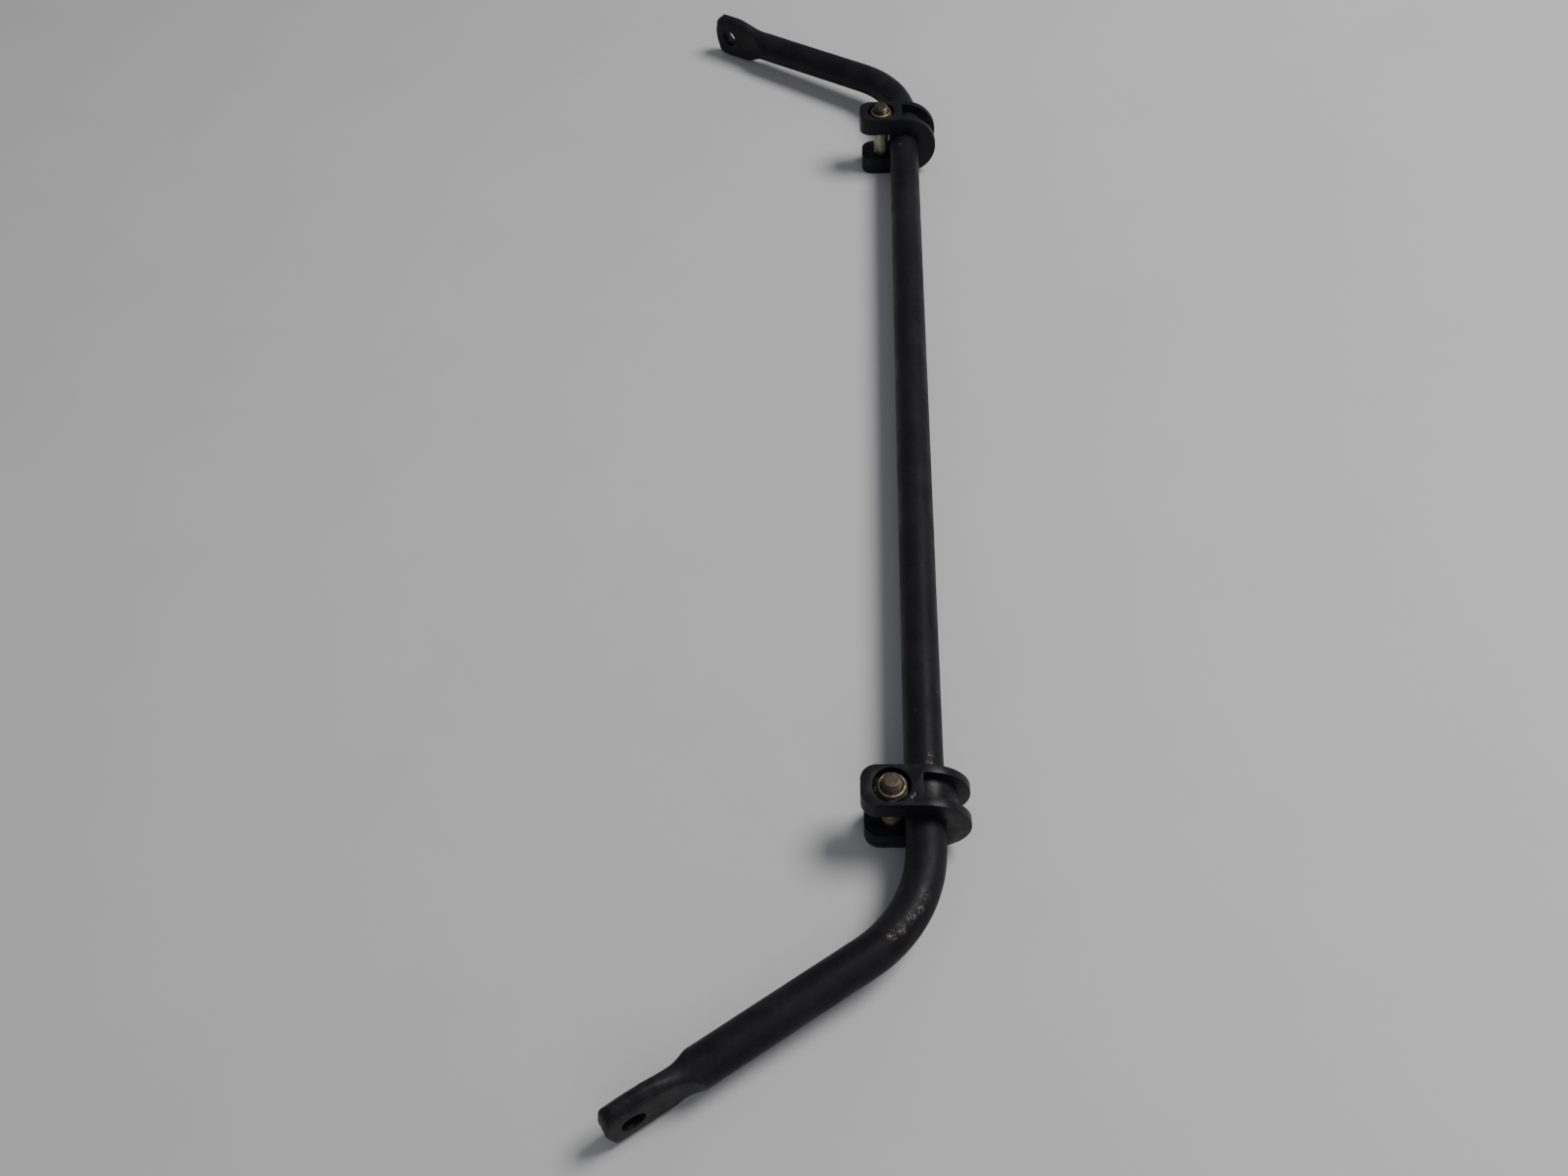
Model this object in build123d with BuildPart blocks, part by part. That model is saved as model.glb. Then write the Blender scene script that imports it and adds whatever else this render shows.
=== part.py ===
from build123d import *
import os
from math import sin, cos, tan, radians, sqrt, asin, atan2

os.makedirs("parts", exist_ok=True)

# ------------------------------------------------------------------
# Driving dimensions, in mm and degrees
# ------------------------------------------------------------------
# the footprint is centred on the origin, so the bar's axis runs in front of it
bar_y = 58.69

# bar
bar_dia = 19.05            # 3/4 in round bar
vertex_x = 311.5           # half the distance between the bend vertices
bend_angle = 56.0          # turn of each arm away from the straight run
bend_radius = 63.0         # centreline radius of the bends
arm_length = 164.5         # bend vertex to the tip of the arm

# forged paddle at the end of each arm, standing on edge
paddle_thick = 8.7         # across the flats
paddle_half_height = 15.8  # crown of the edges, from the bar's axis
paddle_flat_half = 11.3    # edge of the flats, from the bar's axis
ramp_start = 120.0         # from the bend vertex: where the flats begin
ramp_end = 132.0           # where the flats reach their full depth
flare_top = (123.0, 146.0)      # the upper edge rises between these
flare_bottom = (121.0, 140.0)   # the lower edge falls between these
tip_corner = 7.6           # corner radius in the side view
tip_crown = 1.3            # how far the end bulges
link_hole_dia = 11.1       # 7/16 in link bolt hole
link_hole_pos = 152.0      # from the bend vertex

# split bushing
bushing_x = 257.0          # middle of each bushing from the middle of the bar
bushing_len = 21.0         # along the bar
flange_r = 21.3            # half-round nose and half height of the lugs
lug_reach = 30.0           # from the bar's axis to the end of the upper lug
lower_reach = 28.6         # and to the end of the lower lug
lug_corner = 7.6           # plan corner radius of the lugs
bore_clear = 0.06          # radial running clearance on the bar
groove_r = 15.6            # floor of the groove
groove_w = 13.0            # between the flanges
groove_y = -1.2            # where the groove stops against the lugs

# clamp fasteners, 3/8 in
bolt_dia = 9.525
bolt_y = -15.6             # bolt axis from the bar's axis
bolt_hole_dia = 9.9
bolt_len = 40.7            # under the head
bolt_end_chamfer = 1.1
head_af = 14.29            # 9/16 in across flats
head_h = 5.8
recess_dia = 17.8
recess_top = 9.0
recess_bottom = 7.4
washer_od = 17.0
washer_id = 10.1
washer_t = 1.2
nut_h = 7.9
nut_hex_h = 5.7
collar_od = 13.5
insert_r = 5.8             # pocket of the nylon ring
insert_h = 2.0
lip_r = 5.45

# ------------------------------------------------------------------
# Derived
# ------------------------------------------------------------------
bar_r = bar_dia / 2
axis_h = flange_r          # the lugs and flanges lie on z = 0
bend_tangent = bend_radius * tan(radians(bend_angle / 2))
straight_half = vertex_x - bend_tangent
cb, sb = cos(radians(bend_angle)), sin(radians(bend_angle))

# the arms droop until the lower edges of the paddles reach z = 0
low_s = arm_length - tip_crown - tip_corner
reach = low_s * sb
amp = sqrt(reach ** 2 + paddle_half_height ** 2)
droop = asin((axis_h - 0.02) / amp) - atan2(paddle_half_height, reach)
cd, sd = cos(droop), sin(droop)
print("droop of the arms, degrees:", round(droop * 57.29578, 3))


def arm_frame(v):
    """A vector in the arms' plane (x along the bar, y to the front, z normal) turned by the droop."""
    return (v[0], v[1] * cd - v[2] * sd, v[1] * sd + v[2] * cd)


along = arm_frame((cb, -sb, 0))      # from the vertex to the tip, on the +X side
across = arm_frame((sb, cb, 0))      # square to the arm, pointing outwards
up = arm_frame((0, 0, 1))
vertex = (vertex_x, bar_y, axis_h)


def arm_point(s):
    return tuple(vertex[i] + s * along[i] for i in range(3))


# sections of the arm are drawn with x across the flats and y along the paddle's height
def section(s):
    return Plane(origin=arm_point(s), x_dir=across, z_dir=along)


def smooth(t):
    return t * t * (3 - 2 * t)


# ------------------------------------------------------------------
# Forged paddle, +X side
# ------------------------------------------------------------------
half_t = paddle_thick / 2
paddle_rx = half_t / sqrt(1 - (paddle_flat_half / paddle_half_height) ** 2)
n_steps = 8
flare_end = max(flare_top[1], flare_bottom[1])
neck = ramp_start - 1.0
side_plane = Plane(origin=vertex, x_dir=along, z_dir=tuple(-c for c in across))
plan_plane = Plane(origin=vertex, x_dir=along, z_dir=up)

with BuildPart() as paddle:
    # round bar growing into an upright oval, the lower edge ahead of the upper
    for i in range(n_steps + 1):
        s = neck + i / n_steps * (flare_end - neck)
        kt = smooth(min(max((s - flare_top[0]) / (flare_top[1] - flare_top[0]), 0), 1))
        kb = smooth(min(max((s - flare_bottom[0]) / (flare_bottom[1] - flare_bottom[0]), 0), 1))
        above = bar_r + kt * (paddle_half_height - bar_r)
        below = bar_r + kb * (paddle_half_height - bar_r)
        with BuildSketch(section(s)):
            with Locations((0, (above - below) / 2)):
                Ellipse(bar_r + (kt + kb) / 2 * (paddle_rx - bar_r), (above + below) / 2)
    loft()
    with BuildSketch(section(flare_end)):
        Ellipse(paddle_rx, paddle_half_height)
    extrude(amount=arm_length + 4 - flare_end)
    # the two flats, each running out up a round ramp
    with BuildSketch(plan_plane):
        for side in (1, -1):
            with BuildLine():
                l1 = Line((ramp_start, side * (bar_r + 6)), (ramp_start, side * bar_r))
                a1 = TangentArc((ramp_end, side * half_t), l1 @ 1, tangent=(-1, 0))
                Polyline(a1 @ 0, (arm_length + 10, side * half_t), (arm_length + 10, side * (bar_r + 6)), l1 @ 0)
            make_face()
    extrude(amount=30, both=True, mode=Mode.SUBTRACT)
    # rounded, slightly bulging end
    with BuildSketch(side_plane):
        with BuildLine():
            top = Line((arm_length + 9, paddle_half_height + 5), (0.85 * arm_length, paddle_half_height + 5))
            dn = Line(top @ 1, (0.85 * arm_length, paddle_half_height))
            ed = Line(dn @ 1, (arm_length - tip_crown - tip_corner, paddle_half_height))
            c1 = TangentArc(ed @ 1, (arm_length - tip_crown, paddle_half_height - tip_corner), tangent=(1, 0))
            nose = ThreePointArc(c1 @ 1, (arm_length, 0), (arm_length - tip_crown, -(paddle_half_height - tip_corner)))
            c2 = TangentArc(nose @ 1, (arm_length - tip_crown - tip_corner, -paddle_half_height), tangent=(0, -1))
            Polyline(c2 @ 1, (0.85 * arm_length, -paddle_half_height), (0.85 * arm_length, -paddle_half_height - 5),
                     (arm_length + 9, -paddle_half_height - 5), top @ 0)
        make_face()
    extrude(amount=20, both=True, mode=Mode.SUBTRACT)
    # link bolt hole through the flats
    with Locations(Plane(origin=arm_point(link_hole_pos), x_dir=along, z_dir=across)):
        Cylinder(link_hole_dia / 2, 30, mode=Mode.SUBTRACT)

# ------------------------------------------------------------------
# Sway bar: straight run, bends, arms and paddles in one forging
# ------------------------------------------------------------------
bend_centre = arm_frame((straight_half, -bend_radius, 0))
with BuildPart() as sway_bar:
    with BuildSketch(Plane(origin=(0, bar_y, axis_h), x_dir=arm_frame((0, 1, 0)), z_dir=(1, 0, 0))):
        Circle(bar_r)
    extrude(amount=straight_half)
    with BuildSketch(Plane(origin=(straight_half, bar_y, axis_h), x_dir=arm_frame((0, 1, 0)), z_dir=(1, 0, 0))):
        Circle(bar_r)
    revolve(axis=Axis((bend_centre[0], bend_centre[1] + bar_y, bend_centre[2] + axis_h), tuple(-c for c in up)),
            revolution_arc=bend_angle)
    with BuildSketch(section(bend_tangent)):
        Circle(bar_r)
    extrude(amount=neck - bend_tangent)
    add(paddle.part)
    mirror(about=Plane.YZ)
sway_bar.part.label = "sway_bar"
export_step(sway_bar.part, "parts/sway_bar.step")


# ------------------------------------------------------------------
# Split bushing
# ------------------------------------------------------------------
bore_r = bar_r + bore_clear


def yz(x):
    """Plane across the bar at x, with local x along +Y and local y along +Z."""
    return Plane(origin=(x, bar_y, axis_h), x_dir=(0, 1, 0), z_dir=(1, 0, 0))


for side, sx in (("right", 1), ("left", -1)):
    x0 = sx * bushing_x
    y0 = bar_y + bolt_y        # the bolt's axis

    with BuildPart() as bushing:
        with BuildSketch(yz(x0)):
            Circle(flange_r)
            with Locations((-lug_reach / 2, 0)):
                Rectangle(lug_reach, 2 * flange_r)
        extrude(amount=bushing_len / 2, both=True)
        fillet(bushing.edges().filter_by(Axis.Z).group_by(Axis.Y)[0], lug_corner)
        # the lower lug stops a little short of the upper one, with the same corners
        half_l = bushing_len / 2
        low_end = bar_y - lower_reach
        with BuildSketch(Plane.XY.offset(-2)):
            with BuildLine():
                c1 = TangentArc((x0 - half_l, low_end + lug_corner), (x0 - half_l + lug_corner, low_end), tangent=(0, -1))
                e1 = Line(c1 @ 1, (x0 + half_l - lug_corner, low_end))
                c2 = TangentArc(e1 @ 1, (x0 + half_l, low_end + lug_corner), tangent=(1, 0))
                Polyline(c2 @ 1, (x0 + half_l + 2, low_end + lug_corner), (x0 + half_l + 2, low_end - 6),
                         (x0 - half_l - 2, low_end - 6), (x0 - half_l - 2, low_end + lug_corner), c1 @ 0)
            make_face()
        extrude(amount=2 + axis_h, mode=Mode.SUBTRACT)
        # slot and bore
        with BuildSketch(yz(x0)):
            Circle(bore_r)
            with Locations((-(lug_reach + 5) / 2, 0)):
                Rectangle(lug_reach + 5, 2 * bore_r)
        extrude(amount=bushing_len, both=True, mode=Mode.SUBTRACT)
        # groove round the nose
        with BuildSketch(yz(x0)):
            Circle(flange_r + 5)
            Circle(groove_r, mode=Mode.SUBTRACT)
            with Locations((groove_y - 20, 0)):
                Rectangle(40, 80, mode=Mode.SUBTRACT)
        extrude(amount=groove_w / 2, both=True, mode=Mode.SUBTRACT)
        # bolt hole and the two recesses
        with BuildSketch(Plane.XY):
            with Locations((x0, y0)):
                Circle(bolt_hole_dia / 2)
        extrude(amount=2 * axis_h + 5, mode=Mode.SUBTRACT)
        with BuildSketch(Plane.XY.offset(2 * axis_h - recess_top)):
            with Locations((x0, y0)):
                Circle(recess_dia / 2)
        extrude(amount=recess_top + 2, mode=Mode.SUBTRACT)
        with BuildSketch(Plane.XY.offset(-2)):
            with Locations((x0, y0)):
                Circle(recess_dia / 2)
        extrude(amount=recess_bottom + 2, mode=Mode.SUBTRACT)
    bushing.part.label = side + "_bushing"
    export_step(bushing.part, "parts/" + side + "_bushing.step")

    # --------------------------------------------------------------
    # Washers on the floors of the recesses
    # --------------------------------------------------------------
    nut_seat = 2 * axis_h - recess_top
    head_seat = recess_bottom
    with BuildPart() as nut_washer:
        with BuildSketch(Plane.XY.offset(nut_seat)):
            with Locations((x0, y0)):
                Circle(washer_od / 2)
                Circle(washer_id / 2, mode=Mode.SUBTRACT)
        extrude(amount=washer_t)
    nut_washer.part.label = side + "_nut_washer"
    export_step(nut_washer.part, "parts/" + side + "_nut_washer.step")

    with BuildPart() as head_washer:
        with BuildSketch(Plane.XY.offset(head_seat - washer_t)):
            with Locations((x0, y0)):
                Circle(washer_od / 2)
                Circle(washer_id / 2, mode=Mode.SUBTRACT)
        extrude(amount=washer_t)
    head_washer.part.label = side + "_head_washer"
    export_step(head_washer.part, "parts/" + side + "_head_washer.step")

    # --------------------------------------------------------------
    # Clamp bolt, head down
    # --------------------------------------------------------------
    under_head = head_seat - washer_t
    with BuildPart() as bolt:
        with BuildSketch(Plane.XY.offset(under_head - head_h)):
            with Locations((x0, y0)):
                RegularPolygon(head_af / 2, 6, major_radius=False)
        extrude(amount=head_h)
        # corners of the head turned off at the outer face
        with BuildSketch(Plane(origin=(x0, y0, under_head - head_h), x_dir=(1, 0, 0), z_dir=(0, -1, 0))):
            with BuildLine():
                Polyline((head_af / 2 - 0.3, 0), (head_af / 2 + 3, 0), (head_af / 2 + 3, 3.3 * 0.577), (head_af / 2 - 0.3, 0))
            make_face()
        revolve(axis=Axis((x0, y0, 0), (0, 0, 1)), mode=Mode.SUBTRACT)
        with BuildSketch(Plane.XY.offset(under_head)):
            with Locations((x0, y0)):
                Circle(bolt_dia / 2)
        extrude(amount=bolt_len)
        chamfer(bolt.edges().filter_by(GeomType.CIRCLE).sort_by(Axis.Z)[-1], bolt_end_chamfer)
    bolt.part.label = side + "_bolt"
    export_step(bolt.part, "parts/" + side + "_bolt.step")

    # --------------------------------------------------------------
    # Lock nut with its nylon ring
    # --------------------------------------------------------------
    nut_base = nut_seat + washer_t
    nut_bore_r = bolt_dia / 2 + 0.04
    with BuildPart() as lock_nut:
        with BuildSketch(Plane.XY.offset(nut_base)):
            with Locations((x0, y0)):
                RegularPolygon(head_af / 2, 6, major_radius=False)
        extrude(amount=nut_hex_h)
        # corners turned off at both ends of the hexagon
        rv = Plane(origin=(x0, y0, nut_base), x_dir=(1, 0, 0), z_dir=(0, -1, 0))
        with BuildSketch(rv):
            with BuildLine():
                Polyline((head_af / 2 - 0.2, 0), (head_af / 2 + 3, 0), (head_af / 2 + 3, 3.2 * 0.5), (head_af / 2 - 0.2, 0))
            make_face()
            with BuildLine():
                Polyline((head_af / 2 - 0.2, nut_hex_h), (head_af / 2 + 3, nut_hex_h),
                         (head_af / 2 + 3, nut_hex_h - 3.2 * 0.5), (head_af / 2 - 0.2, nut_hex_h))
            make_face()
        revolve(axis=Axis((x0, y0, 0), (0, 0, 1)), mode=Mode.SUBTRACT)
        # collar
        with BuildSketch(rv):
            with BuildLine():
                Polyline((0, nut_hex_h - 0.5), (collar_od / 2, nut_hex_h - 0.5), (collar_od / 2, nut_h - 0.7),
                         (collar_od / 2 - 0.7, nut_h), (0, nut_h), (0, nut_hex_h - 0.5))
            make_face()
        revolve(axis=Axis((x0, y0, 0), (0, 0, 1)))
        # bore, ring pocket and lip
        with BuildSketch(rv):
            with BuildLine():
                Polyline((0, -1), (nut_bore_r, -1), (nut_bore_r, nut_h - 0.4 - insert_h), (insert_r, nut_h - 0.4 - insert_h),
                         (insert_r, nut_h - 0.4), (lip_r, nut_h - 0.4), (lip_r, nut_h + 1), (0, nut_h + 1), (0, -1))
            make_face()
        revolve(axis=Axis((x0, y0, 0), (0, 0, 1)), mode=Mode.SUBTRACT)
    lock_nut.part.label = side + "_lock_nut"
    export_step(lock_nut.part, "parts/" + side + "_lock_nut.step")

    with BuildPart() as nut_insert:
        with BuildSketch(Plane.XY.offset(nut_base + nut_h - 0.4 - insert_h)):
            with Locations((x0, y0)):
                Circle(insert_r)
                Circle(nut_bore_r, mode=Mode.SUBTRACT)
        extrude(amount=insert_h)
    nut_insert.part.label = side + "_nut_insert"
    export_step(nut_insert.part, "parts/" + side + "_nut_insert.step")
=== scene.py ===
import bpy
import math
import numpy as np
from mathutils import Vector, Matrix, noise


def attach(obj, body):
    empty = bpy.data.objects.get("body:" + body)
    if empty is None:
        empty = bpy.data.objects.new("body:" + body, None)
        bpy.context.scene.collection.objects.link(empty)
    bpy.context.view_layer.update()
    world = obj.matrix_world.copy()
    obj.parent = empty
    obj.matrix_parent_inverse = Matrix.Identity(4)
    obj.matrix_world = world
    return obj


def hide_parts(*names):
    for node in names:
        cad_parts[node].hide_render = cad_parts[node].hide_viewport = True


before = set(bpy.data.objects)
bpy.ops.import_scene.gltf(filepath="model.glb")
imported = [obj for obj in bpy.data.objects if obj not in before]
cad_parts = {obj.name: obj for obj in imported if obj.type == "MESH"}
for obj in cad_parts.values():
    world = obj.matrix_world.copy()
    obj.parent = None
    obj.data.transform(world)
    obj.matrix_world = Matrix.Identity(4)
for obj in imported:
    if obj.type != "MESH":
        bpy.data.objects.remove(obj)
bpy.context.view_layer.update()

MM = 0.001
pi = math.pi

# ------------------------------------------------------------------
# Dimensions of the CAD, in mm
# ------------------------------------------------------------------
bar_y, axis_h, bar_r = 58.69, 21.3, 9.525
vertex_x, bend_angle, bend_radius, arm_length = 311.5, 56.0, 63.0, 164.5
half_t, half_h = 4.35, 15.8
ramp_start, ramp_end = 120.0, 132.0
flare_top, flare_bottom = (123.0, 146.0), (121.0, 140.0)
tip_corner, tip_crown = 7.6, 1.3
link_hole_r, link_hole_pos = 5.55, 152.0
bushing_x, bushing_len, flange_r = 257.0, 21.0, 21.3
upper_reach, lower_reach, lug_corner = 30.0, 28.6, 7.6
bore_r, groove_r, groove_w, groove_y = 9.585, 15.6, 13.0, -1.2
bolt_r, bolt_y, bolt_len = 4.7625, -15.6, 40.7
head_af, head_h = 14.29, 5.8
recess_r, recess_top, recess_bottom = 8.9, 9.0, 7.4
washer_ro, washer_ri, washer_t = 8.5, 5.05, 1.2
nut_h, nut_hex_h, collar_r, insert_r, insert_h, lip_r = 7.9, 5.7, 6.75, 5.8, 2.0, 5.45
bolt_hole_r = 4.95

cb, sb = math.cos(math.radians(bend_angle)), math.sin(math.radians(bend_angle))
droop = math.radians(2.441)
cd, sd = math.cos(droop), math.sin(droop)
bend_tangent = bend_radius * math.tan(math.radians(bend_angle / 2))
straight_half = vertex_x - bend_tangent


def arm_frame(v):
    return np.array((v[0], v[1] * cd - v[2] * sd, v[1] * sd + v[2] * cd))


along, across, up = arm_frame((cb, -sb, 0)), arm_frame((sb, cb, 0)), arm_frame((0, 0, 1))
vertex = np.array((vertex_x, bar_y, axis_h))


# ------------------------------------------------------------------
# Mesh helpers
# ------------------------------------------------------------------
def make(name, verts, faces, sharp=None):
    """A mesh object from points in mm."""
    me = bpy.data.meshes.new(name)
    me.from_pydata((np.asarray(verts, float) * MM).tolist(), [], faces)
    me.validate()
    me.update()
    me.polygons.foreach_set("use_smooth", [True] * len(me.polygons))
    if sharp is not None:
        me.set_sharp_from_angle(angle=math.radians(sharp))
    ob = bpy.data.objects.new(name, me)
    bpy.context.scene.collection.objects.link(ob)
    return ob


def apply_modifiers(ob):
    dg = bpy.context.evaluated_depsgraph_get()
    me = bpy.data.meshes.new_from_object(ob.evaluated_get(dg))
    old = ob.data
    ob.modifiers.clear()
    ob.data = me
    me.name = old.name + "_m"
    bpy.data.meshes.remove(old)


def boolean(ob, cutter, operation="DIFFERENCE"):
    m = ob.modifiers.new("cut", "BOOLEAN")
    m.object, m.operation, m.solver = cutter, operation, "EXACT"
    apply_modifiers(ob)
    bpy.data.objects.remove(cutter)


def float_attribute(ob, name, values):
    a = ob.data.attributes.get(name) or ob.data.attributes.new(name, "FLOAT", "POINT")
    a.data.foreach_set("value", np.asarray(values, np.float32))


def prism_x(outline, x0, x1):
    """Outline of (y, z) points, extruded from x0 to x1."""
    n = len(outline)
    v = [(x0, y, z) for y, z in outline] + [(x1, y, z) for y, z in outline]
    f = [(i, (i + 1) % n, n + (i + 1) % n, n + i) for i in range(n)]
    return v, f + [tuple(range(n))[::-1], tuple(range(n, 2 * n))]


def revolved(rows, n, cx, cy, closed=False):
    """Rings of (radius, height), each a number or a function of the angle, stacked into a skin."""
    v, f = [], []
    for r, z in rows:
        for k in range(n):
            a = 2 * pi * k / n
            rr = r(a) if callable(r) else r
            v.append((cx + rr * math.cos(a), cy + rr * math.sin(a), z(a) if callable(z) else z))
    m = len(rows)
    for i in range(m if closed else m - 1):
        j = (i + 1) % m
        for k in range(n):
            l = (k + 1) % n
            f.append((i * n + k, i * n + l, j * n + l, j * n + k))
    return v, f


def capped(rows, n, cx, cy):
    """A revolved skin closed with a fan at each end."""
    v, f = revolved(rows, n, cx, cy)
    z0, z1 = rows[0][1], rows[-1][1]
    v.append((cx, cy, z0(0) if callable(z0) else z0))
    v.append((cx, cy, z1(0) if callable(z1) else z1))
    b, t, m = len(v) - 2, len(v) - 1, len(rows) - 1
    for k in range(n):
        l = (k + 1) % n
        f.append((b, l, k))
        f.append((t, m * n + k, m * n + l))
    return v, f


def hexagon(af):
    def r(a):
        return (af / 2) / math.cos((a % (pi / 3)) - pi / 6)
    return r


def turned_hexagon(af, limit):
    """Hexagon with its corners turned off by a cone of radius limit."""
    h = hexagon(af)
    return lambda a: min(h(a), limit)


def clip01(x):
    return min(max(x, 0.0), 1.0)


def smooth(t):
    return t * t * (3 - 2 * t)


# ------------------------------------------------------------------
# The bar: straight run, bends, arms and forged paddles
# ------------------------------------------------------------------
NB = 128
SHARPNESS = 18.0
ramp_depth = bar_r - half_t
ramp_rho = ((ramp_end - ramp_start) ** 2 + ramp_depth ** 2) / (2 * ramp_depth)
paddle_rx = half_t / math.sqrt(1 - (11.3 / half_h) ** 2)


def section_at(s):
    """Half width, heights above and below, and distance of the flats, at s along the arm."""
    kt = smooth(clip01((s - flare_top[0]) / (flare_top[1] - flare_top[0])))
    kb = smooth(clip01((s - flare_bottom[0]) / (flare_bottom[1] - flare_bottom[0])))
    rx = bar_r + (kt + kb) / 2 * (paddle_rx - bar_r)
    if s >= ramp_end:
        t = half_t
    elif s > ramp_end - ramp_rho + 0.3:
        t = half_t + ramp_rho - math.sqrt(ramp_rho ** 2 - (ramp_end - s) ** 2)
    else:
        t = 1e3
    return rx, bar_r + kt * (half_h - bar_r), bar_r + kb * (half_h - bar_r), t


def ring(rx, above, below, t):
    """NB points round a section, evenly spaced, from the top over the outer side, and how near each is to an edge of a flat."""
    c, rz = (above - below) / 2, (above + below) / 2
    th = np.linspace(0, 2 * pi, 1441)
    sx, cz = np.sin(th), np.cos(th)
    re = 1 / np.sqrt((sx / rx) ** 2 + (cz / rz) ** 2)
    rs = t / np.maximum(np.abs(sx), 1e-4)
    r = re * (1 + (re / rs) ** SHARPNESS) ** (-1 / SHARPNESS)
    edge = np.exp(-(np.log(re / rs) / 0.05) ** 2) if t < 100 else np.zeros_like(th)
    x, z = r * sx, c + r * cz
    d = np.concatenate([[0], np.cumsum(np.hypot(np.diff(x), np.diff(z)))])
    at = np.linspace(0, d[-1], NB + 1)[:-1]
    return np.interp(at, d, x), np.interp(at, d, z), np.interp(at, d, edge)


def tip_end(z):
    """Where the end of the paddle is, along the arm, at height z in the paddle."""
    z = np.abs(z)
    flat = half_h - tip_corner
    e = np.minimum(z, flat) / flat
    corner = np.sqrt(np.maximum(tip_corner ** 2 - np.maximum(z - flat, 0) ** 2, 0))
    return np.where(z <= flat, arm_length - tip_crown * e ** 2, arm_length - tip_crown - tip_corner + corner)


points, edges = [], []


def add_ring(centre, a, u, x, z, e, s=None, axis=None):
    p = centre[None, :] + np.outer(x, a) + np.outer(z, u)
    if s is not None:
        p = p + np.outer(s, axis)
    points.append(p)
    edges.append(e)


zero = np.zeros(NB)
rx_, rz_, _ = ring(bar_r, bar_r, bar_r, 1e3)
y_axis = arm_frame((0, 1, 0))
for x in np.concatenate([np.arange(0, straight_half - 2, 5.0), [straight_half]]):
    add_ring(np.array((x, bar_y, axis_h)), y_axis, up, rx_, rz_, zero)
bend_centre = np.array((straight_half, bar_y, axis_h)) + arm_frame((0, -bend_radius, 0))
for b in np.radians(np.arange(2, bend_angle + 0.1, 2.0)):
    a = arm_frame((math.sin(b), math.cos(b), 0))
    add_ring(bend_centre + bend_radius * a, a, up, rx_, rz_, zero)
for s in np.arange(bend_tangent + 4.5, 114.0, 4.5):
    add_ring(vertex + s * along, across, up, rx_, rz_, zero)
for s in np.arange(115.0, 147.2, 0.8):
    x, z, e = ring(*section_at(s))
    add_ring(vertex + s * along, across, up, x, z, e)
# the end, following its rounded outline, with a worn rim
x, z, e = ring(*section_at(147.0))
s_a, rim = 147.0, 1.6
end = tip_end(z)
# the rounding fades out where the end already runs smoothly into the crowned edges
tx, tz = np.roll(x, -1) - np.roll(x, 1), np.roll(z, -1) - np.roll(z, 1)
nz = np.abs(tx) / np.hypot(tx, tz)
turn = np.clip((np.abs(z) - half_h + tip_corner) / tip_corner, 0, 1)
soft = np.maximum(1 - nz * turn, 0.06)
for u in np.linspace(0, 1, 17)[1:]:
    add_ring(vertex, across, up, x, z, np.maximum(e, 0.0), s_a + (end - rim * soft - s_a) * u, along)
for phi in np.radians((15, 30, 45, 60, 75, 90)):
    inset = rim * (1 - math.cos(phi))
    xi, zi = x * (1 - inset / half_t), z * (1 - 0.6 * inset * (1 - turn) / half_h)
    add_ring(vertex, across, up, xi, zi, np.maximum(e * 0.6, 0.55 * math.sin(2 * phi) * soft), end - rim * soft * (1 - math.sin(phi)), along)
rings = len(points)
last_x, last_z, last_s = xi, zi, end
# rows across the end face
cap_cols = 7
cap = []
for k in range(1, NB // 2):
    for j in range(1, cap_cols):
        w = j / cap_cols
        xx = last_x[k] * (1 - w) + last_x[NB - k] * w
        bulge = 0.35 * (1 - (2 * w - 1) ** 2) * soft[k]
        cap.append(vertex + xx * across + last_z[k] * up + (last_s[k] + bulge - 0.35) * along)
right = np.concatenate(points + [np.array(cap)])
right_edge = np.concatenate(edges + [np.full(len(cap), 0.12)])

flip = np.array((-1, 1, 1.0))
n_right = len(right)
left = right[NB:] * flip
verts = np.concatenate([right, left])
edge_all = np.concatenate([right_edge, right_edge[NB:]])


def rid(side, i, k):
    """Number of the point k of ring i on a side; ring 0 is shared."""
    k %= NB
    return i * NB + k if side > 0 or i == 0 else n_right + (i - 1) * NB + k


def cid(side, k, j):
    base = rings * NB + (k - 1) * (cap_cols - 1) + (j - 1)
    return base if side > 0 else n_right + base - NB


faces = []
for side in (1, -1):
    def quad(a, b, c, d):
        faces.append((a, b, c, d) if side > 0 else (d, c, b, a))
    for i in range(rings - 1):
        for k in range(NB):
            quad(rid(side, i, k), rid(side, i, k + 1), rid(side, i + 1, k + 1), rid(side, i + 1, k))
    def grid(k, j):
        if k in (0, NB // 2):
            return rid(side, rings - 1, k)
        if j == 0:
            return rid(side, rings - 1, k)
        if j == cap_cols:
            return rid(side, rings - 1, NB - k)
        return cid(side, k, j)
    for k in range(NB // 2):
        for j in range(cap_cols):
            q = [grid(k, j), grid(k + 1, j), grid(k + 1, j + 1), grid(k, j + 1)]
            q = [p for i, p in enumerate(q) if p not in q[:i]]
            if len(q) > 2:
                faces.append(tuple(q) if side > 0 else tuple(q[::-1]))

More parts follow.
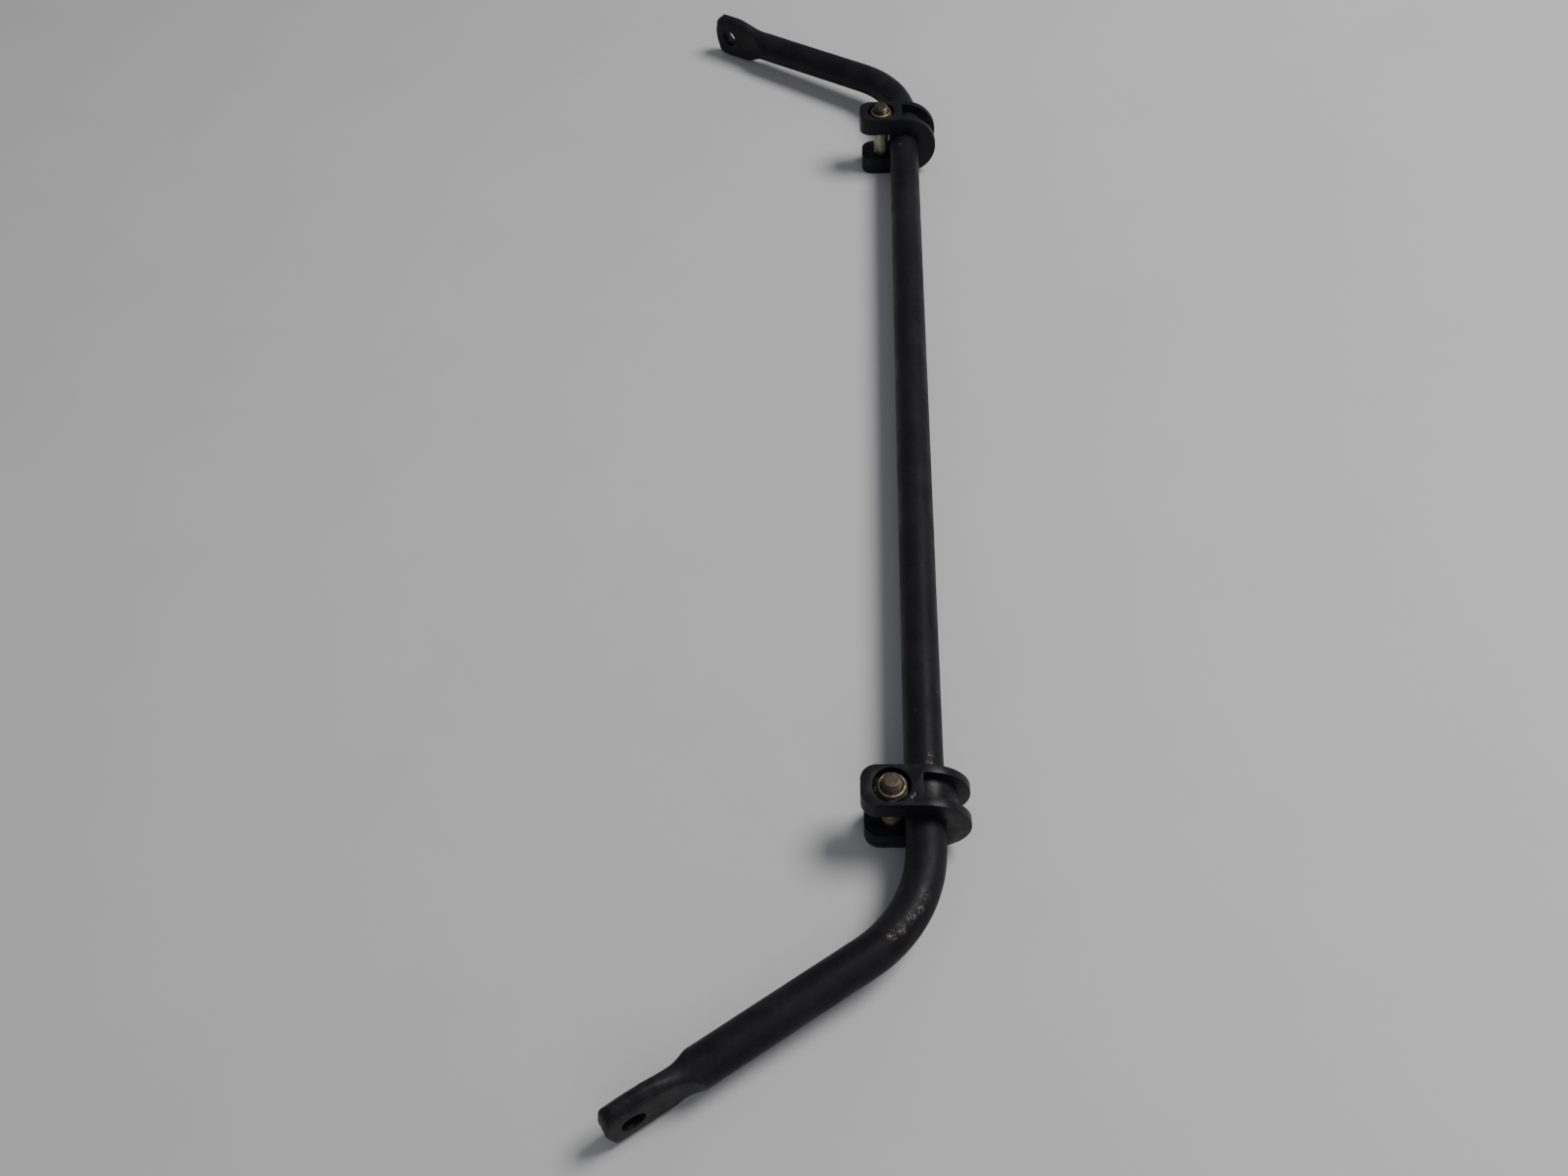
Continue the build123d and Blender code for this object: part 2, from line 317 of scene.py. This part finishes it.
# forging scale and draw marks: a little unevenness, more on the paddles, none under the bushings
rel = verts.copy()
s_along = (np.abs(rel[:, 0]) - vertex_x) * cb - (rel[:, 1] - bar_y) * sb
on_paddle = np.clip((s_along - 112) / 22, 0, 1) * (np.abs(rel[:, 0]) > vertex_x)
clear = np.clip((np.abs(np.abs(rel[:, 0]) - bushing_x) - 11.5) / 4, 0, 1)
mesh_n = np.zeros_like(verts)
tri = np.array([f[:3] for f in faces])
fn = np.cross(verts[tri[:, 1]] - verts[tri[:, 0]], verts[tri[:, 2]] - verts[tri[:, 0]])
for c in range(3):
    for q in range(3):
        np.add.at(mesh_n[:, c], tri[:, q], fn[:, c])
mesh_n /= np.maximum(np.linalg.norm(mesh_n, axis=1, keepdims=True), 1e-9)
wobble = np.array([noise.noise(Vector(p) / 7.5) for p in verts]) * 0.17 * on_paddle \
    + np.array([noise.noise(Vector(p) / 2.6) for p in verts]) * 0.05 * on_paddle \
    + np.array([noise.noise(Vector(p) / 16.0) for p in verts]) * 0.05
verts = verts + mesh_n * (wobble * clear - 0.03 * on_paddle)[:, None]

bar = make("bar_forging", verts, faces)
float_attribute(bar, "edge", edge_all)
float_attribute(bar, "paddle", on_paddle)
# link bolt holes, with a small broken edge
for side in (1, -1):
    prof = [(5.75, -9.0), (8.2, -6.0), (6.55, -4.75), (6.0, -4.42), (5.72, -4.2), (link_hole_r, -3.85),
            (link_hole_r, 3.85), (5.72, 4.2), (6.0, 4.42), (6.55, 4.75), (8.2, 6.0), (5.75, 9.0)]
    v, f = capped(prof, 72, 0, 0)
    v = np.array(v)
    centre = (vertex + link_hole_pos * along) * np.array((side, 1, 1))
    ax, al = across * np.array((side, 1, 1)), along * np.array((side, 1, 1))
    third = np.cross(ax, al)
    w = centre[None, :] + np.outer(v[:, 2], ax) + np.outer(v[:, 0], al) + np.outer(v[:, 1], third)
    boolean(bar, make("cutter", w, f))
bar.data.set_sharp_from_angle(angle=math.radians(42))
bar.data.update()


# ------------------------------------------------------------------
# Split bushings
# ------------------------------------------------------------------
def arc(cy, cz, r, a0, a1, n):
    return [(cy + r * math.cos(a), cz + r * math.sin(a)) for a in np.linspace(a0, a1, n)]


def bushing(side, x0):
    # side profile in (y, z) about the bar's axis: lugs, nose, slot and bore
    lip = 0.35
    out = [(-upper_reach, flange_r), (-upper_reach, bore_r + lip), (-upper_reach + lip, bore_r)]
    out += arc(0, 0, bore_r, pi / 2, -pi / 2, 73)
    out += [(-lower_reach + lip, -bore_r), (-lower_reach, -bore_r - lip), (-lower_reach, -flange_r)]
    out += arc(0, 0, flange_r, -pi / 2, pi / 2, 97)
    v, f = prism_x([(bar_y + y, axis_h + z) for y, z in out], x0 - 15, x0 + 15)
    body = make(side + "_bushing_moulding", v, f)
    # plan outline, a rounded rectangle: one for the lower lug and one for the upper
    h = bushing_len / 2
    rows = []
    for z, reach in ((-5.0, lower_reach), (axis_h, lower_reach), (axis_h + 0.02, upper_reach), (50.0, upper_reach)):
        c1 = arc(-h + lug_corner, -reach + lug_corner, lug_corner, pi, 1.5 * pi, 17)
        c2 = arc(h - lug_corner, -reach + lug_corner, lug_corner, 1.5 * pi, 2 * pi, 17)
        rows.append([(x0 + a, bar_y + b, z) for a, b in c1 + c2 + [(h, 26.0), (-h, 26.0)]])
    n = len(rows[0])
    v = [p for row in rows for p in row]
    f = [(i * n + k, i * n + (k + 1) % n, (i + 1) * n + (k + 1) % n, (i + 1) * n + k) for i in range(3) for k in range(n)]
    f += [tuple(range(n))[::-1], tuple(range(3 * n, 4 * n))]
    boolean(body, make("plan", v, f), "INTERSECT")
    # groove round the nose
    a0 = math.acos(groove_y / groove_r)
    g = arc(0, 0, groove_r, a0, -a0, 81) + [(groove_y, -30), (30, -30), (30, 30), (groove_y, 30)]
    v, f = prism_x([(bar_y + y, axis_h + z) for y, z in g], x0 - groove_w / 2, x0 + groove_w / 2)
    boolean(body, make("groove", v, f))
    # recesses and bolt hole in one cutter
    cy = bar_y + bolt_y
    v, f = capped([(recess_r + 0.12, -3.0), (recess_r + 0.12, 0.0), (recess_r, recess_bottom), (bolt_hole_r, recess_bottom),
                   (bolt_hole_r, 2 * axis_h - recess_top), (recess_r, 2 * axis_h - recess_top),
                   (recess_r + 0.12, 2 * axis_h), (recess_r + 0.12, 2 * axis_h + 3)], 72, x0, cy)
    boolean(body, make("recess", v, f))
    me = body.data
    import bmesh
    bm = bmesh.new()
    bm.from_mesh(me)
    bmesh.ops.remove_doubles(bm, verts=bm.verts, dist=2e-6)
    bmesh.ops.dissolve_degenerate(bm, edges=bm.edges, dist=2e-6)
    lay = bm.edges.layers.float.new("bevel_weight_edge")
    for e in bm.edges:
        if len(e.link_faces) != 2 or e.calc_face_angle(0) < math.radians(28):
            continue
        m = (e.verts[0].co + e.verts[1].co) / 2 / MM
        r = math.hypot(m.y - bar_y, m.z - axis_h)
        inside = math.hypot(m.x - x0, m.y - cy) < recess_r + 0.5
        if inside:
            near_top = m.z > 2 * axis_h - 0.5 or m.z < 0.5
            e[lay] = 0.55 if near_top else 0.0
        elif abs(r - bore_r) < 0.3 and m.y > bar_y - 1:
            e[lay] = 0.35
        elif abs(abs(m.x - x0) - groove_w / 2) < 0.05:
            e[lay] = 0.45 if r > flange_r - 0.4 else 0.38
        else:
            e[lay] = 0.9
    bm.to_mesh(me)
    bm.free()
    b = body.modifiers.new("edges", "BEVEL")
    b.limit_method, b.width, b.segments, b.profile = "WEIGHT", 1.0 * MM, 3, 0.5
    b.use_clamp_overlap, b.miter_outer = True, "MITER_SHARP"
    apply_modifiers(body)
    body.data.polygons.foreach_set("use_smooth", [True] * len(body.data.polygons))
    body.data.set_sharp_from_angle(angle=math.radians(38))
    return body


# ------------------------------------------------------------------
# Clamp fasteners
# ------------------------------------------------------------------
pitch = 25.4 / 16


def thread_radius(a, z, z_from, z_to):
    f = ((z - z_from) / pitch - a / (2 * pi)) % 1.0
    t = abs(f - 0.5) * 2
    cut = 1 - clip01((t - 0.16) / 0.68)
    depth = 0.6134 * pitch * smooth(clip01((z - z_from) / 1.8))
    r = bolt_r - 0.02 - depth * cut
    return min(r, bolt_r - 0.1 - (z - (z_to - 1.2)) * 0.95) if z > z_to - 1.2 else r


def bolt(side, x0):
    cy = bar_y + bolt_y
    under = recess_bottom - washer_t
    z0, z1 = under - head_h, under + bolt_len
    af = head_af - 0.06
    rows = [(3.0, z0 + 0.12), (5.6, z0 + 0.05), (5.9, z0)]
    for i in range(15):
        z = z0 + 0.02 + i * 0.13
        rows.append((turned_hexagon(af, af / 2 * 0.95 + i * 0.13 / math.tan(math.radians(30))), z))
    rows += [(hexagon(af), under - 1.2), (hexagon(af), under - 0.45), (turned_hexagon(af, af / 2 + 0.55), under - 0.28),
             (6.75, under - 0.26), (6.7, under), (5.3, under), (4.95, under + 0.12), (bolt_r - 0.02, under + 0.5)]
    z_from = z1 - 16.0
    rows += [(bolt_r - 0.02, z) for z in np.linspace(under + 2, z_from - 0.4, 8)]
    for z in np.arange(z_from, z1 - 0.02, 0.132):
        rows.append((lambda a, z=z: thread_radius(a, z, z_from, z1), z))
    rows += [(3.62, z1 - 0.03), (3.45, z1), (2.2, z1 - 0.02), (1.0, z1 - 0.08)]
    v, f = capped(rows, 72, x0, cy)
    return make(side + "_hex_bolt", v, f, sharp=34)


def nut(side, x0):
    cy = bar_y + bolt_y
    b = 2 * axis_h - recess_top + washer_t
    af = head_af - 0.06
    rows = [(bolt_r + 0.5, b), (6.6, b)]
    for i in range(10):
        z = b + 0.02 + i * 0.12
        rows.append((turned_hexagon(af, af / 2 * 0.97 + i * 0.12 / math.tan(math.radians(30))), z))
    rows.append((hexagon(af), b + 2.8))
    for i in range(12):
        z = b + nut_hex_h - 0.05 - (11 - i) * 0.12
        rows.append((turned_hexagon(af, af / 2 * 0.965 + (11 - i) * 0.12 / math.tan(math.radians(30))), z))
    t = b + nut_h
    rows += [(collar_r + 0.18, b + nut_hex_h), (collar_r + 0.04, b + nut_hex_h + 0.14), (collar_r, b + nut_hex_h + 0.4), (collar_r, t - 0.95)]
    for q in np.radians(np.linspace(12, 90, 7)):
        rows.append((collar_r - 0.85 * (1 - math.cos(q)), t - 0.95 + 0.95 * math.sin(q)))
    rows += [(lip_r + 0.22, t - 0.03), (lip_r + 0.06, t - 0.1), (lip_r, t - 0.24), (lip_r, t - 0.4), (insert_r, t - 0.42), (insert_r, t - 0.4 - insert_h),
             (bolt_r + 0.04, t - 0.4 - insert_h), (bolt_r + 0.04, b + 0.5)]
    v, f = revolved(rows, 96, x0, cy, closed=True)
    return make(side + "_lock_nut_body", v, f, sharp=34)


def insert(side, x0):
    cy = bar_y + bolt_y
    t = 2 * axis_h - recess_top + washer_t + nut_h - 0.4
    rows = [(bolt_r + 0.05, t - insert_h), (insert_r - 0.02, t - insert_h), (insert_r - 0.02, t - 0.1), (insert_r - 0.1, t - 0.03),
            (5.4, t), (5.1, t - 0.03), (4.9, t - 0.14), (bolt_r + 0.06, t - 0.4)]
    v, f = revolved(rows, 96, x0, cy, closed=True)
    return make(side + "_nylon_ring", v, f, sharp=40)


def washer(name, x0, z0):
    cy = bar_y + bolt_y
    q = 0.22
    rows = [(washer_ri + q, z0), (washer_ro - q, z0), (washer_ro - 0.06, z0 + 0.07), (washer_ro, z0 + q), (washer_ro, z0 + washer_t - q),
            (washer_ro - 0.06, z0 + washer_t - 0.07), (washer_ro - q, z0 + washer_t), (washer_ri + q, z0 + washer_t),
            (washer_ri + 0.05, z0 + washer_t - 0.06), (washer_ri, z0 + washer_t - q), (washer_ri, z0 + q), (washer_ri + 0.05, z0 + 0.06)]
    v, f = revolved(rows, 72, x0, cy, closed=True)
    return make(name, v, f, sharp=40)


# ------------------------------------------------------------------
# Materials
# ------------------------------------------------------------------
class Shader:
    def __init__(self, name):
        self.m = bpy.data.materials.new(name)
        self.m.use_nodes = True
        self.t = self.m.node_tree
        self.b = self.t.nodes["Principled BSDF"]
        self.co = self.t.nodes.new("ShaderNodeTexCoord").outputs["Object"]

    def put(self, socket, value):
        if isinstance(value, bpy.types.NodeSocket):
            self.t.links.new(value, socket)
        elif isinstance(value, (tuple, list)) and len(value) == 3 and socket.type == "RGBA":
            socket.default_value = (*value, 1)
        else:
            socket.default_value = value

    def noise(self, scale, detail=3.0, rough=0.55, distortion=0.0, stretch=None):
        n = self.t.nodes.new("ShaderNodeTexNoise")
        co = self.co
        if stretch:
            mp = self.t.nodes.new("ShaderNodeMapping")
            mp.inputs["Scale"].default_value = stretch
            self.t.links.new(co, mp.inputs["Vector"])
            co = mp.outputs["Vector"]
        self.t.links.new(co, n.inputs["Vector"])
        n.inputs["Scale"].default_value, n.inputs["Detail"].default_value = scale, detail
        n.inputs["Roughness"].default_value, n.inputs["Distortion"].default_value = rough, distortion
        return n.outputs["Fac"]

    def attribute(self, name):
        n = self.t.nodes.new("ShaderNodeAttribute")
        n.attribute_name = name
        return n.outputs["Fac"]

    def math(self, op, a, b=0.0, clamp=False):
        n = self.t.nodes.new("ShaderNodeMath")
        n.operation, n.use_clamp = op, clamp
        self.put(n.inputs[0], a)
        self.put(n.inputs[1], b)
        return n.outputs[0]

    def span(self, value, a, b, c=0.0, d=1.0):
        n = self.t.nodes.new("ShaderNodeMapRange")
        n.interpolation_type = "SMOOTHSTEP"
        self.put(n.inputs["Value"], value)
        for k, w in (("From Min", a), ("From Max", b), ("To Min", c), ("To Max", d)):
            n.inputs[k].default_value = w
        return n.outputs["Result"]

    def mix(self, fac, a, b):
        n = self.t.nodes.new("ShaderNodeMix")
        n.data_type = "RGBA"
        self.put(n.inputs[0], fac)
        self.put(n.inputs[6], a)
        self.put(n.inputs[7], b)
        return n.outputs[2]

    def spot(self, centre, size):
        """1 at a place on the object, falling to 0 at its edge; centre and size in mm."""
        a = self.t.nodes.new("ShaderNodeVectorMath")
        a.operation = "SUBTRACT"
        self.t.links.new(self.co, a.inputs[0])
        a.inputs[1].default_value = tuple(c * MM for c in centre)
        b = self.t.nodes.new("ShaderNodeVectorMath")
        b.operation = "DIVIDE"
        self.t.links.new(a.outputs[0], b.inputs[0])
        b.inputs[1].default_value = tuple(c * MM for c in size)
        c = self.t.nodes.new("ShaderNodeVectorMath")
        c.operation = "LENGTH"
        self.t.links.new(b.outputs[0], c.inputs[0])
        return self.span(c.outputs["Value"], 1.0, 0.25)

    def bump(self, height, distance, strength=1.0, normal=None):
        n = self.t.nodes.new("ShaderNodeBump")
        n.inputs["Distance"].default_value, n.inputs["Strength"].default_value = distance, strength
        self.put(n.inputs["Height"], height)
        if normal is not None:
            self.t.links.new(normal, n.inputs["Normal"])
        return n.outputs["Normal"]

    def out(self, **k):
        for name, value in k.items():
            self.put(self.b.inputs[name.replace("_", " ")], value)
        return self.m


def bar_paint():
    s = Shader("worn_satin_black_paint")
    cloud = s.span(s.noise(38, 4, 0.6), 0.35, 0.68)
    fine = s.span(s.noise(420, 3, 0.6), 0.38, 0.66)
    col = s.mix(cloud, (0.0086, 0.0082, 0.0102), (0.0150, 0.0144, 0.0170))
    col = s.mix(s.math("MULTIPLY", fine, 0.30), col, (0.018, 0.017, 0.020))
    dust = s.math("MULTIPLY", s.span(s.noise(95, 5, 0.65), 0.55, 0.75), 0.26)
    col = s.mix(dust, col, (0.030, 0.028, 0.028))
    # the paddles are scuffed greyer than the rest
    scuff = s.math("MULTIPLY", s.attribute("paddle"), s.span(s.noise(230, 5, 0.7), 0.40, 0.66))
    col = s.mix(s.math("MULTIPLY", scuff, 0.42), col, (0.036, 0.033, 0.034))
    # paint off: edges of the paddles, the outside of the near bend, chips beside the bushings
    grit = s.noise(900, 4, 0.7)
    edge = s.math("MULTIPLY", s.attribute("edge"), s.span(grit, 0.52, 0.64))
    edge = s.math("MULTIPLY", edge, s.span(s.noise(120, 2, 0.5), 0.42, 0.62))
    streak = None
    for c, d in (((305.1, 57.2, 29.2), (5.0, 3.2, 3.0)), ((310.4, 54.8, 29.0), (4.4, 2.8, 2.6)), ((315.3, 50.9, 29.2), (4.2, 3.4, 2.6)),
                 ((320.4, 46.4, 29.2), (4.0, 3.4, 2.4)), ((323.6, 42.3, 29.4), (3.4, 3.6, 2.2))):
        p = s.spot(c, d)
        streak = p if streak is None else s.math("MAXIMUM", streak, p)
    streak = s.math("MULTIPLY", streak, s.span(s.noise(620, 4, 0.7), 0.44, 0.60))
    chips = None
    for c, d in (((238.7, 61.2, 30.6), (1.7, 2.6, 2.0)), ((234.5, 61.6, 30.4), (1.6, 2.2, 1.6)), ((-236.5, 55.6, 30.2), (2.2, 2.6, 2.4))):
        p = s.spot(c, d)
        chips = p if chips is None else s.math("MAXIMUM", chips, p)
    chips = s.math("MULTIPLY", chips, s.span(s.noise(700, 3, 0.6), 0.43, 0.55))
    # sparse small chips everywhere
    specks = s.math("MULTIPLY", s.span(s.noise(520, 2, 0.5), 0.735, 0.765), s.span(s.noise(60, 2, 0.5), 0.5, 0.6))
    bare = s.math("MAXIMUM", s.math("MAXIMUM", edge, streak), s.math("MAXIMUM", chips, specks), clamp=True)
    rusty = s.mix(s.span(s.noise(1100, 3, 0.6), 0.42, 0.60), (0.20, 0.19, 0.185), (0.085, 0.050, 0.032))
    col = s.mix(s.math("MULTIPLY", bare, 0.72), col, rusty)
    rough = s.span(s.noise(70, 4, 0.6), 0.3, 0.7, 0.40, 0.56)
    rough = s.math("ADD", rough, s.math("MULTIPLY", dust, 0.5), clamp=True)
    h = s.math("ADD", s.math("MULTIPLY", s.noise(1300, 3, 0.6), 0.5), s.math("MULTIPLY", s.noise(260, 4, 0.6), 1.1))
    h = s.math("SUBTRACT", h, s.math("MULTIPLY", bare, 0.9))
    n = s.bump(h, 0.00009, 0.75)
    return s.out(Base_Color=col, Roughness=rough, Normal=n, Metallic=s.math("MULTIPLY", bare, 0.45), Specular_IOR_Level=0.13)


def moulded_black():
    s = Shader("moulded_black_polymer")
    cloud = s.span(s.noise(55, 4, 0.6), 0.35, 0.68)
    col = s.mix(cloud, (0.0066, 0.0068, 0.0090), (0.0120, 0.0122, 0.0155))
    dust = s.math("MULTIPLY", s.span(s.noise(160, 5, 0.7), 0.50, 0.72), 0.30)
    col = s.mix(dust, col, (0.034, 0.032, 0.031))
    scratch = s.math("MULTIPLY", s.span(s.noise(240, 3, 0.6, 0.0, (0.25, 3.0, 1.0)), 0.62, 0.72), 0.24)
    col = s.mix(scratch, col, (0.050, 0.049, 0.052))
    # a pale spot on the right lug's top at the edge of the recess: partly a worn chip, partly a painted highlight on
    # the recess lip
    chip_and_glint = s.spot((261.9, 53.4, 42.4), (1.3, 0.6, 1.0))
    chip_and_glint = s.math("MAXIMUM", chip_and_glint, s.spot((263.3, 52.2, 42.4), (1.3, 0.7, 1.0)))
    chip_and_glint = s.math("MULTIPLY", chip_and_glint, s.span(s.noise(1200, 2, 0.5), 0.30, 0.48))
    col = s.mix(s.math("MULTIPLY", chip_and_glint, 0.75), col, (0.30, 0.28, 0.21))
    rough = s.span(s.noise(85, 4, 0.6), 0.3, 0.7, 0.33, 0.48)
    rough = s.math("ADD", rough, s.math("MULTIPLY", dust, 0.8), clamp=True)
    h = s.math("ADD", s.math("MULTIPLY", s.noise(1900, 2, 0.5), 0.5), s.math("MULTIPLY", s.noise(340, 3, 0.6), 0.6))
    n = s.bump(h, 0.00006, 0.7)
    return s.out(Base_Color=col, Roughness=rough, Normal=n, Specular_IOR_Level=0.20)


def zinc(name, light, dark, stain_level, stain=(0.085, 0.045, 0.022), grime_and_shade_colour=(0.020, 0.017, 0.014), scale=1.0, painted_shade_below=None, painted_light_below=None):
    s = Shader(name)
    cloud = s.span(s.noise(300 * scale, 4, 0.65), 0.32, 0.68)
    col = s.mix(cloud, dark, light)
    st = s.span(s.noise(430 * scale, 5, 0.7), stain_level, stain_level + 0.10)
    col = s.mix(s.math("MULTIPLY", st, 0.9), col, stain)
    grime_and_shade = s.span(s.noise(190 * scale, 4, 0.65), 0.56, 0.74)
    # painted light: between 11 mm and the given height the bolt's shank is made pale, standing in for light on the
    # shank inside the shaded slot between the lugs
    if painted_light_below is not None:
        part = s.t.nodes.new("ShaderNodeSeparateXYZ")
        s.t.links.new(s.co, part.inputs[0])
        painted_slot_light = s.span(part.outputs["Z"], painted_light_below * MM, (painted_light_below - 0.8) * MM)
        painted_slot_light = s.math("MULTIPLY", painted_slot_light, s.span(part.outputs["Z"], 10.0 * MM, 11.5 * MM))
        col = s.mix(s.math("MULTIPLY", painted_slot_light, 0.85), col, (0.50, 0.45, 0.33))
    # painted shade: below the given height the nut's colour is drawn to the dark grime colour, standing in for the
    # shade down in the bushing's recess round the hex
    if painted_shade_below is not None:
        sep = s.t.nodes.new("ShaderNodeSeparateXYZ")
        s.t.links.new(s.co, sep.inputs[0])
        painted_recess_shade = s.span(sep.outputs["Z"], painted_shade_below * MM, (painted_shade_below - 1.2) * MM)
        painted_recess_shade = s.math("MULTIPLY", painted_recess_shade, s.span(s.noise(260, 3, 0.6), 0.30, 0.55, 0.55, 1.0))
        grime_and_shade = s.math("MAXIMUM", grime_and_shade, painted_recess_shade)
    # real grime from the noise, and on the nut the painted shade of the recess, both mixed in here
    col = s.mix(s.math("MULTIPLY", grime_and_shade, 0.85), col, grime_and_shade_colour)
    dull = s.math("MAXIMUM", st, grime_and_shade, clamp=True)
    rough = s.math("ADD", s.span(s.noise(800, 3, 0.6), 0.3, 0.7, 0.36, 0.52), s.math("MULTIPLY", dull, 0.35), clamp=True)
    metal = s.math("SUBTRACT", 0.9, s.math("MULTIPLY", dull, 0.8), clamp=True)
    h = s.math("ADD", s.math("MULTIPLY", s.noise(2600, 2, 0.5), 0.5), s.math("MULTIPLY", dull, 0.7))
    n = s.bump(h, 0.00005, 0.8)
    return s.out(Base_Color=col, Roughness=rough, Metallic=metal, Normal=n)


def nylon():
    s = Shader("dirty_shaded_nylon")
    # the insert is coloured near black: some dirt, and painted shade of the hollow inside the nut's collar
    col = s.mix(s.span(s.noise(600, 4, 0.6), 0.35, 0.65), (0.022, 0.019, 0.017), (0.070, 0.060, 0.050))
    n = s.bump(s.noise(1800, 3, 0.6), 0.00004, 0.7)
    return s.out(Base_Color=col, Roughness=s.span(s.noise(500, 3, 0.6), 0.3, 0.7, 0.5, 0.7), Normal=n, Subsurface_Weight=0.05)


def floor_material():
    s = Shader("pale_floor")
    col = s.mix(s.span(s.noise(1.1, 3, 0.5), 0.3, 0.7), (0.590, 0.583, 0.584), (0.622, 0.616, 0.612))
    col = s.mix(s.math("MULTIPLY", s.span(s.noise(14, 4, 0.6), 0.4, 0.7), 0.20), col, (0.55, 0.545, 0.545))
    n = s.bump(s.noise(900, 4, 0.6), 0.00008, 0.35)
    return s.out(Base_Color=col, Roughness=0.62, Normal=n)


paint, polymer, ring_nylon = bar_paint(), moulded_black(), nylon()
# the bolt's shank below 30 mm is paler, as painted light in the slot
bolt_metal = zinc("grey_yellow_zinc_bolt", (0.130, 0.113, 0.086), (0.075, 0.062, 0.046), 0.53, painted_light_below=30.0)
# the nut is darkened below 41.4 mm as painted shade of the recess it sits in
nut_metal = zinc("yellow_zinc_nut", (0.32, 0.27, 0.18), (0.18, 0.145, 0.09), 0.50, painted_shade_below=41.4)
washer_metal = zinc("dull_zinc_washer", (0.30, 0.26, 0.19), (0.18, 0.15, 0.11), 0.50)


def finish_piece(ob, material, body, slot, *nodes):
    ob.data.materials.clear()
    ob.data.materials.append(material)
    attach(ob, body)
    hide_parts(*nodes)


finish_piece(bar, paint, "bar", "bar_paint", "sway_bar")
for side, sx in (("right", 1), ("left", -1)):
    x0, body = sx * bushing_x, side + "_clamp"
    finish_piece(bushing(side, x0), polymer, body, "moulded_black", side + "_bushing")
    finish_piece(bolt(side, x0), bolt_metal, body, "zinc_bolt", side + "_bolt")
    finish_piece(nut(side, x0), nut_metal, body, "zinc_nut", side + "_lock_nut")
    finish_piece(insert(side, x0), ring_nylon, body, "nylon", side + "_nut_insert")
    finish_piece(washer(side + "_washer_under_nut", x0, 2 * axis_h - recess_top), washer_metal, body, "zinc_washer", side + "_nut_washer")
    finish_piece(washer(side + "_washer_under_head", x0, recess_bottom - washer_t), washer_metal, body, "zinc_washer", side + "_head_washer")

# ------------------------------------------------------------------
# Floor, light and camera
# ------------------------------------------------------------------
floor = make("floor", [(-4000, -4000, 0), (4000, -4000, 0), (4000, 4000, 0), (-4000, 4000, 0)], [(0, 1, 2, 3)])
floor.data.materials.append(floor_material())

cam = bpy.data.cameras.new("camera")
co = bpy.data.objects.new("camera", cam)
bpy.context.scene.collection.objects.link(co)
r = Vector((-0.032015, 0.998021, -0.054121))
d = Vector((0.800353, -0.006836, -0.59949))
f = Vector((-0.598673, -0.062509, -0.798551))
co.matrix_world = Matrix(((r.x, -d.x, -f.x, 0.564901), (r.y, -d.y, -f.y, 0.034312), (r.z, -d.z, -f.z, 0.60251), (0, 0, 0, 1)))
cam.sensor_width, cam.lens, cam.clip_start = 36, 31.9104, 0.01
bpy.context.scene.camera = co

world = bpy.data.worlds.new("studio")
bpy.context.scene.world = world
world.use_nodes = True
bg = world.node_tree.nodes["Background"]
bg.inputs[0].default_value = (0.80, 0.83, 0.93, 1)
bg.inputs[1].default_value = 0.22


def area(name, place, aim, size, power, colour=(1, 1, 1)):
    l = bpy.data.lights.new(name, "AREA")
    l.shape, l.size, l.energy, l.color = "DISK", size, power, colour
    o = bpy.data.objects.new(name, l)
    o.location = place
    o.rotation_euler = (Vector(place) - Vector(aim)).to_track_quat("Z", "Y").to_euler()
    bpy.context.scene.collection.objects.link(o)


area("key", (-0.35, 1.20, 1.95), (0.0, 0.02, 0.0), 1.0, 43.0, (1.0, 0.985, 0.955))
area("fill", (2.4, 0.6, 2.1), (0.1, 0.0, 0.0), 2.4, 11.0, (0.94, 0.96, 1.0))

bpy.context.view_layer.update()
